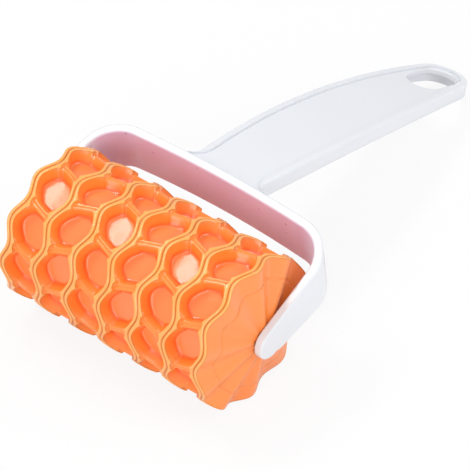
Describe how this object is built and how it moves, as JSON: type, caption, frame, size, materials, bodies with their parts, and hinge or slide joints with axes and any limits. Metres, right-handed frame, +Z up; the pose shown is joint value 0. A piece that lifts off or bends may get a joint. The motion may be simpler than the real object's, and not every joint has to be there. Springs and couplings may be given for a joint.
{
  "type": "pastry roller",
  "caption": "Hand roller with a ribbed hollow drum that spins between the arms of a one-piece yoke and grip with a hanging hole.",
  "frame": {"origin": "on the table, under the middle of the bounding box, with the drum and the handle's tip both standing on the table", "axes": "+X along the drum's axis, +Y from the drum towards the handle's tip, +Z up"},
  "size_m": [0.1056, 0.2068, 0.0574],
  "materials": {
    "white_plastic": "smooth moulded, glossy",
    "orange_plastic": "smooth moulded, glossy, slightly translucent"
  },
  "bodies": {
    "frame": {"frame_handle": "white_plastic"},
    "roller": {"roller_drum": "orange_plastic", "end_cap_right": "orange_plastic", "end_cap_left": "orange_plastic"}
  },
  "joints": [
    {"name": "roller_spin", "type": "hinge", "parent": "frame", "child": "roller", "pos_m": [0, -0.0747, 0.0287], "axis": [1, 0, 0], "continuous": true}
  ]
}
